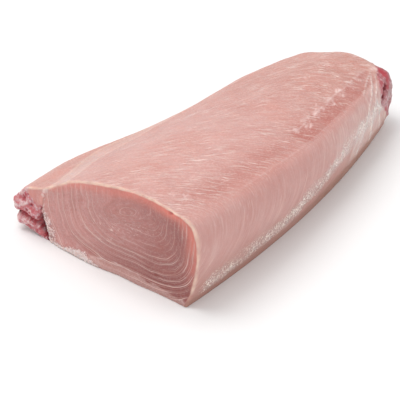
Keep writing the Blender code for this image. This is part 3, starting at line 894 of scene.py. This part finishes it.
def ball_grid():
    """Directions on a unit ball: rings from pole to pole, with both poles as single points at the end."""
    polar = np.pi * np.arange(1, CRUMB_RINGS + 1) / (CRUMB_RINGS + 1)
    round_it = 2 * np.pi * np.arange(CRUMB_COLUMNS) / CRUMB_COLUMNS
    polar, round_it = np.meshgrid(polar, round_it, indexing="ij")
    across = np.sin(polar)
    ball = np.stack([across * np.cos(round_it), across * np.sin(round_it), np.cos(polar)], axis=-1)
    return np.vstack([ball.reshape(-1, 3), (0, 0, 1), (0, 0, -1)])


def ball_faces():
    """Quads between the rings of a ball, and triangles at its poles, all facing out."""
    here = np.arange(CRUMB_RINGS * CRUMB_COLUMNS).reshape(CRUMB_RINGS, CRUMB_COLUMNS)
    beside = np.roll(here, -1, axis=1)
    quads = np.stack([here[:-1], here[1:], beside[1:], beside[:-1]], axis=-1).reshape(-1, 4)
    top, bottom = here.size, here.size + 1
    caps_up = np.stack([np.full(CRUMB_COLUMNS, top), here[0], beside[0]], axis=-1)
    caps_down = np.stack([np.full(CRUMB_COLUMNS, bottom), beside[-1], here[-1]], axis=-1)
    return quads, np.vstack([caps_up, caps_down])


def crumbs(name, amount, count, seed):
    """Crumbs at points of the sheet drawn by amount: ball directions times a size, stretched by a random
    length in each direction, and roughened by noise."""
    draw = np.random.default_rng(seed)
    chance = (amount / amount.sum()).ravel()
    chosen = draw.choice(len(chance), count, replace=False, p=chance)
    centres = shaped.reshape(-1, 3)[chosen] - outward(shaped).reshape(-1, 3)[chosen] * 0.0002
    sizes = draw.uniform(*CRUMB_SIZES, count) * (0.7 + 0.6 * amount.ravel()[chosen])
    stretch = draw.uniform(0.75, 1.25, (count, 1, 3))
    ball = ball_grid() * stretch * sizes[:, None, None]
    ball = ball * (1 + 0.25 * noise(0.0012, 71, ball + centres[:, None]))[..., None]
    vertices = centres[:, None] + ball
    vertices[..., 1] = np.maximum(vertices[..., 1], CRUMB_MARGIN - FOOT)
    vertices[..., 2] = np.maximum(vertices[..., 2], CRUMB_MARGIN)
    quads, caps = ball_faces()
    first = np.arange(count)[:, None, None] * ball.shape[1]
    mesh = bpy.data.meshes.new(name)
    all_quads = (quads + first).reshape(-1, 4).tolist()
    all_caps = (caps + first).reshape(-1, 3).tolist()
    mesh.from_pydata((vertices + corner).reshape(-1, 3).tolist(), [], all_quads + all_caps)
    mesh.shade_smooth()
    print("made", count, "crumbs with", len(mesh.polygons), "faces")
    return mesh


crumb_mesh = crumbs("crumbs", froth**1.5 * (0.12 + foot_froth), CRUMB_COUNT, CRUMB_SEED)

# %% [markdown]
# ## Finishes
#
# Shader nodes are easier to read as sums than as a web of links. The small class below wraps the output of a
# node and gives it Python's operators. Colours never go through Math nodes, which would turn them grey, but
# through Mix.


# %% Shader maths
class Wire:
    """The output of a node. Operators and methods on it add the nodes that work out the expression."""

    def __init__(self, finish, socket):
        self.finish = finish
        self.socket = socket

    def maths(self, operation, *others):
        """A Math node on this and the others."""
        inputs = dict(enumerate([self, *others]))
        return self.finish.add("ShaderNodeMath", {"operation": operation}, inputs)

    def __add__(self, other):
        return self.maths("ADD", other)

    def __sub__(self, other):
        return self.maths("SUBTRACT", other)

    def __rsub__(self, other):
        return self.finish.add("ShaderNodeMath", {"operation": "SUBTRACT"}, {0: other, 1: self})

    def __mul__(self, other):
        return self.maths("MULTIPLY", other)

    __radd__ = __add__
    __rmul__ = __mul__

    def step(self, start, stop):
        """0 before start, 1 after stop, and a smooth step between them."""
        inputs = {"Value": self, "From Min": start, "From Max": stop}
        return self.finish.add("ShaderNodeMapRange", {"interpolation_type": "SMOOTHSTEP"}, inputs)

    def tint(self, without, with_it):
        """The first colour where this is 0, and the second where it is 1."""
        settings = {"data_type": "RGBA", "clamp_factor": True}
        return self.finish.add("ShaderNodeMix", settings, {0: self, 6: without, 7: with_it}, output=2)


class Finish:
    """A material, with one method that adds any node to it."""

    def __init__(self, name):
        self.material = bpy.data.materials.new(name)
        self.material.use_nodes = True
        self.tree = self.material.node_tree
        self.shader = self.tree.nodes["Principled BSDF"]

    def add(self, kind, settings=None, inputs=None, output=0):
        """Adds a node, makes its settings, fills its sockets, and gives one output."""
        node = self.tree.nodes.new(kind)
        for setting, value in (settings or {}).items():
            setattr(node, setting, value)
        self.fill(node, inputs or {})
        return Wire(self, node.outputs[output])

    def fill(self, node, inputs):
        """Sets each socket to its number or colour, or links it to its wire."""
        for key, value in inputs.items():
            if isinstance(value, Wire):
                self.tree.links.new(value.socket, node.inputs[key])
            else:
                node.inputs[key].default_value = value

    def mask(self, name):
        """A mask that is stored on the mesh."""
        return self.add("ShaderNodeAttribute", {"attribute_name": name}, output=2)

    def noise(self, place, scale, detail=2.0, roughness=0.5):
        """Noise between 0 and 1, mostly near the middle."""
        inputs = {"Vector": place, "Scale": scale, "Detail": detail, "Roughness": roughness}
        return self.add("ShaderNodeTexNoise", None, inputs)

    def flow_noise(self, flake, run, layer, detail=3.0, roughness=0.5):
        """Noise laid along the flakes. Each layer cuts it at another depth, so that no two look alike."""
        place = self.add("ShaderNodeCombineXYZ", None, {0: flake, 1: run, 2: layer})
        return self.noise(place, 1.0, detail, roughness)


def srgb(red, green, blue):
    """A colour given as screen values from 0 to 255, in the linear light that shaders work in."""
    screen = np.array([red, green, blue]) / 255
    light = np.where(screen <= 0.04045, screen / 12.92, ((screen + 0.055) / 1.055) ** 2.4)
    return (*light.tolist(), 1.0)


# %% [markdown]
# Raw tuna is a little see-through: light enters the flesh, scatters and comes out pink. So the shader gets
# subsurface scattering, and a thin wet coat. Its colour is built up as on the real fish: plain flesh, tinted
# by region, then the streaks and pale lines of the flakes, then membrane, fat and dark tissue on top.

# %% Colours of the flesh
CUT_FLESH = srgb(204, 146, 141)
CUT_GREY = srgb(186, 132, 128)
CUT_RED_AND_SHADE = srgb(142, 81, 77)
SKIN_FLESH = srgb(198, 153, 146)
SKIN_DEEP = srgb(188, 134, 126)
REAR_FLESH = srgb(178, 124, 112)
PALE_LINE = srgb(230, 196, 188)
MILK = srgb(238, 214, 206)
# a darker pink for streaks and grain, and the colour of painted shade in creases
DARK_PINK_AND_SHADE = srgb(166, 104, 94)
EMBER = srgb(222, 130, 116)
WARM = srgb(206, 146, 134)
BARE = srgb(174, 108, 99)
CREAM = srgb(230, 198, 180)
SILVER = srgb(240, 228, 218)
TAN_AND_SHADE = srgb(168, 122, 108)
CRIMSON_AND_GROOVE_SHADE = srgb(170, 56, 66)
MAROON_AND_SHADE = srgb(112, 22, 32)
LILAC = srgb(206, 164, 170)
VEIL_LILAC = srgb(210, 186, 184)
ROSE = srgb(192, 96, 102)
GREYED = srgb(150, 112, 112)
GLINT = srgb(255, 238, 228)
LIT_WALL_FLESH = srgb(216, 164, 160)
KNOT = srgb(142, 84, 86)
FAT_AND_HIGHLIGHT_WHITE = srgb(238, 214, 210)

# %% [markdown]
# Three functions build the colour one after the other: the muscle with its flakes, the membrane, and the
# marbled dark tissue with its froth. Each of them tints what the one before has made. Streaks are noise laid
# along the flakes, on the flow that the mesh carries.


# %% Muscle and its flakes
def flake_lines(finish, flake, run, wander):
    """The pale walls between the flakes: 1 wherever the count of flakes, shaken by noise, is whole."""
    count = flake + (finish.flow_noise(flake * 0.35, run * 0.35, 0.0, detail=2.0) - 0.5) * wander
    return ((count.maths("FRACT") - 0.5).maths("ABSOLUTE") * 2.0).step(0.76, 0.98)


def muscle_colour(finish, flake, run, place):
    """Plain flesh with its flakes, on the cut and on the skin, and how far the flake lines stand out."""
    cut, wall, rear, smooth = (finish.mask(name) for name in ("cut", "wall", "rear", "smooth"))
    plain = 1.0 - finish.mask("plain")
    shake = rear * 1.8 - cut * 1.8 - wall * 2.4 + 2.6
    shaken = flake + (finish.noise(place, 75.0, detail=2.0) - 0.5) * shake
    streaks = finish.flow_noise(shaken * 2.2, run * 0.55, 2.0, roughness=0.6)
    patches = finish.flow_noise(flake * 0.40, run * 0.30, 4.0).step(0.40, 0.64)
    clouds = finish.noise(place, 34.0, detail=3.0)
    mottle = finish.noise(place, 560.0, detail=3.0, roughness=0.7)

    depth = (clouds * 0.6 + streaks * 0.6 + mottle * 0.5).step(0.68, 1.05)
    # painted light: the wall's flesh is tinted lighter than the top, as if more light fell on that side
    skin_colour = (wall * 0.22).tint(depth.tint(SKIN_FLESH, SKIN_DEEP), LIT_WALL_FLESH)
    skin_colour = (rear * 0.86).tint(skin_colour, REAR_FLESH)
    # the cut's darker, redder corner and base are partly its own colour and partly painted shade
    cut_colour = finish.mask("dusk").tint(depth.tint(CUT_FLESH, CUT_GREY), CUT_RED_AND_SHADE)
    colour = cut.tint(skin_colour, cut_colour)
    broad = finish.noise(place, 16.0, detail=2.0).step(0.44, 0.62) * (1.0 - cut) * (1.0 - wall)
    colour = (broad * 0.22).tint(colour, WARM)
    colour = (finish.mask("warm") * (0.85 - mottle * 0.4)).tint(colour, WARM)
    colour = finish.mask("bare").tint(colour, BARE)
    colour = (finish.mask("strip") * 0.36).tint(colour, PALE_LINE)

    dashes = finish.flow_noise(flake * 4.0, run * 2.2, 7.0, detail=1.0).step(0.60, 0.68)
    fade = finish.flow_noise(flake * 0.9, run * 0.30, 6.0, detail=0.0).step(0.32, 0.62)
    strokes = finish.flow_noise(shaken * 1.9, run * 0.65, 9.0, roughness=0.6)
    tufts = finish.noise(place, 42.0, detail=3.0).step(0.40, 0.62) * 0.85 + 0.15
    threads = strokes.step(0.53, 0.66) * tufts
    rings = finish.mask("rings")
    half_lines = flake_lines(finish, flake * 2.0 + 0.5, run, 0.8) * rings * 0.6
    ring_line = (flake_lines(finish, flake, run, 0.5) + half_lines) * rings * (fade * 0.85 + 0.15)
    skin_line = flake_lines(finish, flake, run, 1.6) * patches * (1.0 - cut) * plain * (0.32 - wall * 0.16)
    line = ring_line * 0.95 + skin_line + finish.mask("specks") * dashes * 0.8
    colour = (threads * (0.74 + rear * 0.16 - cut * 0.16 - smooth * 0.50)).tint(colour, MILK)
    colour = (strokes.step(0.46, 0.34) * tufts * (0.46 + rear * 0.20 - smooth * 0.36)).tint(colour, DARK_PINK_AND_SHADE)
    arcs = finish.flow_noise(shaken * 0.7, run * 0.40, 12.0, roughness=0.6)
    colour = (arcs.step(0.54, 0.66) * rear * (1.0 - smooth) * 0.28).tint(colour, MILK)
    colour = (mottle.step(0.50, 0.66) * (0.20 - cut * 0.04 - wall * 0.10)).tint(colour, MILK)
    colour = (mottle.step(0.50, 0.34) * (0.20 + cut * 0.16 - wall * 0.10)).tint(colour, DARK_PINK_AND_SHADE)
    bands = finish.flow_noise(flake * 0.9, run * 0.14, 8.0, detail=2.0)
    colour = (bands.step(0.50, 0.34) * (cut * 0.24 + smooth * plain * 0.08)).tint(colour, DARK_PINK_AND_SHADE)
    colour = (bands.step(0.54, 0.70) * smooth * plain * (1.0 - cut) * 0.14).tint(colour, MILK)
    colour = (finish.mask("ember") * 0.82).tint(colour, EMBER)
    height = line + threads * (0.6 - wall * 0.4) + streaks * 0.4 + mottle * 0.5
    return line.tint(colour, cut.tint(MILK, PALE_LINE)), height


# %% Membrane and cream lines
def membrane(finish, colour, flake, run, place):
    """Membrane and cream lines over the flesh: glints of two sizes in clusters where the silver is, and
    streaks along the flakes in the veil. Also gives how far both stand out."""
    silver, veil = finish.mask("silver"), finish.mask("veil")
    glints = finish.noise(place, 560.0, detail=2.0, roughness=0.7)
    clusters = finish.noise(place, 60.0, detail=2.0).step(0.36, 0.56)
    sparks = finish.noise(place, 1000.0, detail=1.0)
    shine = (glints * 0.6 + sparks * 0.4 + silver * 0.10).step(0.57, 0.62)
    flecks = silver.step(0.05, 0.40) * (shine * (clusters * 0.75 + 0.25) + 0.04)
    # the cream rim line is a painted highlight; the seam's cream lines are its own colour
    # the tan of the low wall is partly painted shade
    lines = (("band", 0.15, SILVER), ("tan", 0.75, TAN_AND_SHADE), ("seam", 0.75, CREAM), ("rim", 0.90, CREAM))
    for name, strength, tone in lines:
        colour = (finish.mask(name) * strength).tint(colour, tone)
    # painted highlights: white glints of the wet silver membrane tinted into the colour
    colour = flecks.tint(colour, GLINT)
    strands = finish.flow_noise(flake * 2.2, run * 0.45, 5.0)
    veil_colour = strands.step(0.40, 0.60).tint(VEIL_LILAC, SILVER)
    colour = (veil * (0.25 + strands * 1.2)).tint(colour, veil_colour)
    # painted shade behind the first fold and in the closed crevice
    colour = (finish.mask("crease") * 0.6).tint(colour, DARK_PINK_AND_SHADE)
    return colour, flecks * 2.0 + veil * strands


# %% Dark tissue, fat and froth
def marbled(finish, colour, place):
    """Dark muscle marbled with fat: lilac and rose cells of two sizes, with the placed patches on top."""
    cells = finish.noise(place, 260.0, detail=3.0, roughness=0.6)
    fibres = finish.noise(place, 900.0, detail=2.0)
    flesh_or_fat = (cells * 0.8 + fibres * 0.2).step(0.40, 0.62).tint(ROSE, LILAC)
    rear = finish.mask("rear")
    whitening = (cells * 0.6 + fibres * 0.4).step(0.54, 0.66) * (0.8 - rear * 0.6)
    whiter = whitening.tint(flesh_or_fat, FAT_AND_HIGHLIGHT_WHITE)
    darker = (rear * cells.step(0.66, 0.46) * 0.9).tint(whiter, KNOT)
    colour = (finish.mask("tissue") * 0.92).tint(colour, darker)
    froth = finish.mask("froth")
    flecks = (finish.noise(place, 380.0, detail=3.0, roughness=0.75) + froth * 0.08).step(0.56, 0.61)
    # this white also paints the highlights of the bumps on the top
    colour = (finish.mask("fat") * (1.0 - froth) * (0.55 + cells * 0.6)).tint(colour, FAT_AND_HIGHLIGHT_WHITE)
    colour = (froth * 0.7).tint(colour, GREYED)
    colour = (froth.step(0.02, 0.25) * (0.04 + flecks * 0.86)).tint(colour, FAT_AND_HIGHLIGHT_WHITE)
    # crimson and maroon are partly dark tissue and partly painted shade in the groove, pits and crevice
    colour = (finish.mask("crimson") * 0.9).tint(colour, CRIMSON_AND_GROOVE_SHADE)
    return finish.mask("maroon").tint(colour, MAROON_AND_SHADE), cells

# %% [markdown]
# The heights that come with the colours become one bump. Wet places are smoother under a stronger coat.

# %% The whole finish
BUMP_STRENGTH, BUMP_DEPTH = 0.7, 0.0010
SCATTER, SCATTER_COLOUR, SCATTER_LENGTH = 0.15, (1.0, 0.35, 0.25), 0.003
FLESH_IOR = 1.38


def flesh_finish():
    """The whole finish of the loin. Dark tissue, silver and veil are wetter than the flesh; pits are dull."""
    finish = Finish("raw_flesh")
    flow = finish.add("ShaderNodeUVMap", {"uv_map": "flow"})
    place = finish.add("ShaderNodeTexCoord", output=3)
    flake, run = (finish.add("ShaderNodeSeparateXYZ", None, {0: flow}, output=axis) for axis in (0, 1))
    colour, line_height = muscle_colour(finish, flake, run, place)
    colour, membrane_height = membrane(finish, colour, flake, run, place)
    colour, cells = marbled(finish, colour, place)

    tissue = finish.mask("tissue")
    height = line_height * 0.6 + membrane_height + tissue * cells * 1.5
    bump_inputs = {"Strength": BUMP_STRENGTH, "Distance": BUMP_DEPTH, "Height": height}
    bump = finish.add("ShaderNodeBump", None, bump_inputs)
    wetness = finish.noise(place, 90.0, detail=3.0)
    wet_tissue = tissue * (0.45 - finish.mask("rear") * 0.25)
    wet = (finish.mask("silver") + wet_tissue + finish.mask("veil") * 0.5).step(0.1, 0.8)
    dull = finish.mask("maroon")
    finish.fill(
        finish.shader,
        {
            "Base Color": colour,
            "Roughness": 0.42 + wetness * 0.25 - wet * 0.22 + dull * 0.3,
            "Normal": bump,
            "Coat Weight": (wetness.step(0.35, 0.70) * 0.20 + wet * 0.5) * (1.0 - dull),
            "Coat Roughness": 0.22,
            "Subsurface Weight": SCATTER,
            "Subsurface Radius": SCATTER_COLOUR,
            "Subsurface Scale": SCATTER_LENGTH,
            "IOR": FLESH_IOR,
        },
    )
    return finish.material


def fat_finish():
    """The finish of the crumbs: off-white with pink patches, fine grain and a wet coat."""
    finish = Finish("frayed_fat")
    place = finish.add("ShaderNodeTexCoord", output=3)
    pinkness = finish.noise(place, 260.0, detail=2.0).step(0.42, 0.62)
    grain = finish.noise(place, 1400.0, detail=1.0)
    bump = finish.add("ShaderNodeBump", None, {"Strength": 0.4, "Distance": 0.0004, "Height": grain})
    finish.fill(
        finish.shader,
        {
            "Base Color": pinkness.tint(FAT_AND_HIGHLIGHT_WHITE, PALE_LINE),
            "Roughness": 0.35 + grain * 0.2,
            "Normal": bump,
            "Coat Weight": 0.4,
            "Subsurface Weight": 0.3,
            "Subsurface Radius": (1.0, 0.5, 0.4),
            "Subsurface Scale": 0.002,
        },
    )
    return finish.material


# %% The two pieces
def add_piece(name, mesh, material):
    """An object at the origin with that mesh and material."""
    piece = bpy.data.objects.new(name, mesh)
    bpy.context.scene.collection.objects.link(piece)
    mesh.materials.append(material)
    print(name, "has a finish of", len(material.node_tree.nodes), "nodes")
    return piece


flesh = add_piece("flesh", flesh_mesh, flesh_finish())
fat_crumbs = add_piece("fat_crumbs", crumb_mesh, fat_finish())

# %% [markdown]
# ## Studio
#
# A plain pale floor and soft light from above, a little from the right and the back, as in a product
# photograph.


# %% Floor and lights
FLOOR_SIDE = 6.0
SKY_STRENGTH = 0.80
# name, place, size, power in watts
LIGHTS = (("key_light", (-0.5, -0.2, 1.6), 1.0, 16.0), ("right_fill", (1.4, -0.1, 0.8), 1.0, 2.5))


def studio_floor():
    """A pale square under the loin, with the faintest clouds in its grey."""
    finish = Finish("pale_floor")
    place = finish.add("ShaderNodeTexCoord", output=3)
    cloud = finish.noise(place, 3.0)
    colour = cloud.tint(srgb(234, 234, 234), srgb(238, 238, 238))
    finish.fill(finish.shader, {"Base Color": colour, "Roughness": 0.7})
    mesh = bpy.data.meshes.new("floor")
    corners = ((-1, -1), (1, -1), (1, 1), (-1, 1))
    square = [(x * FLOOR_SIDE, y * FLOOR_SIDE, float(low[2])) for x, y in corners]
    mesh.from_pydata(square, [], [(0, 1, 2, 3)])
    mesh.materials.append(finish.material)
    floor = bpy.data.objects.new("floor", mesh)
    bpy.context.scene.collection.objects.link(floor)


def soft_light(name, place, size, power):
    """A square light at that place, turned to face the loin."""
    data = bpy.data.lights.new(name, "AREA")
    data.size = size
    data.energy = power
    light = bpy.data.objects.new(name, data)
    light.location = place
    middle = bpy.data.objects["flesh"].location
    light.rotation_euler = (light.location - middle).to_track_quat("Z", "Y").to_euler()
    bpy.context.scene.collection.objects.link(light)


studio_floor()
for light in LIGHTS:
    soft_light(*light)
world = bpy.data.worlds.new("studio")
world.use_nodes = True
world.node_tree.nodes["Background"].inputs["Color"].default_value = (1.0, 1.0, 1.0, 1.0)
world.node_tree.nodes["Background"].inputs["Strength"].default_value = SKY_STRENGTH
bpy.context.scene.world = world
bpy.context.scene.view_settings.view_transform = "Standard"
print("the studio has", len(LIGHTS), "lights and a floor")

# %% [markdown]
# ## Hand over
#
# The flesh rides on the loin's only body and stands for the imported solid.

# %% Finish
for piece in (flesh, fat_crumbs):
    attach(piece, "root")
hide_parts("loin")
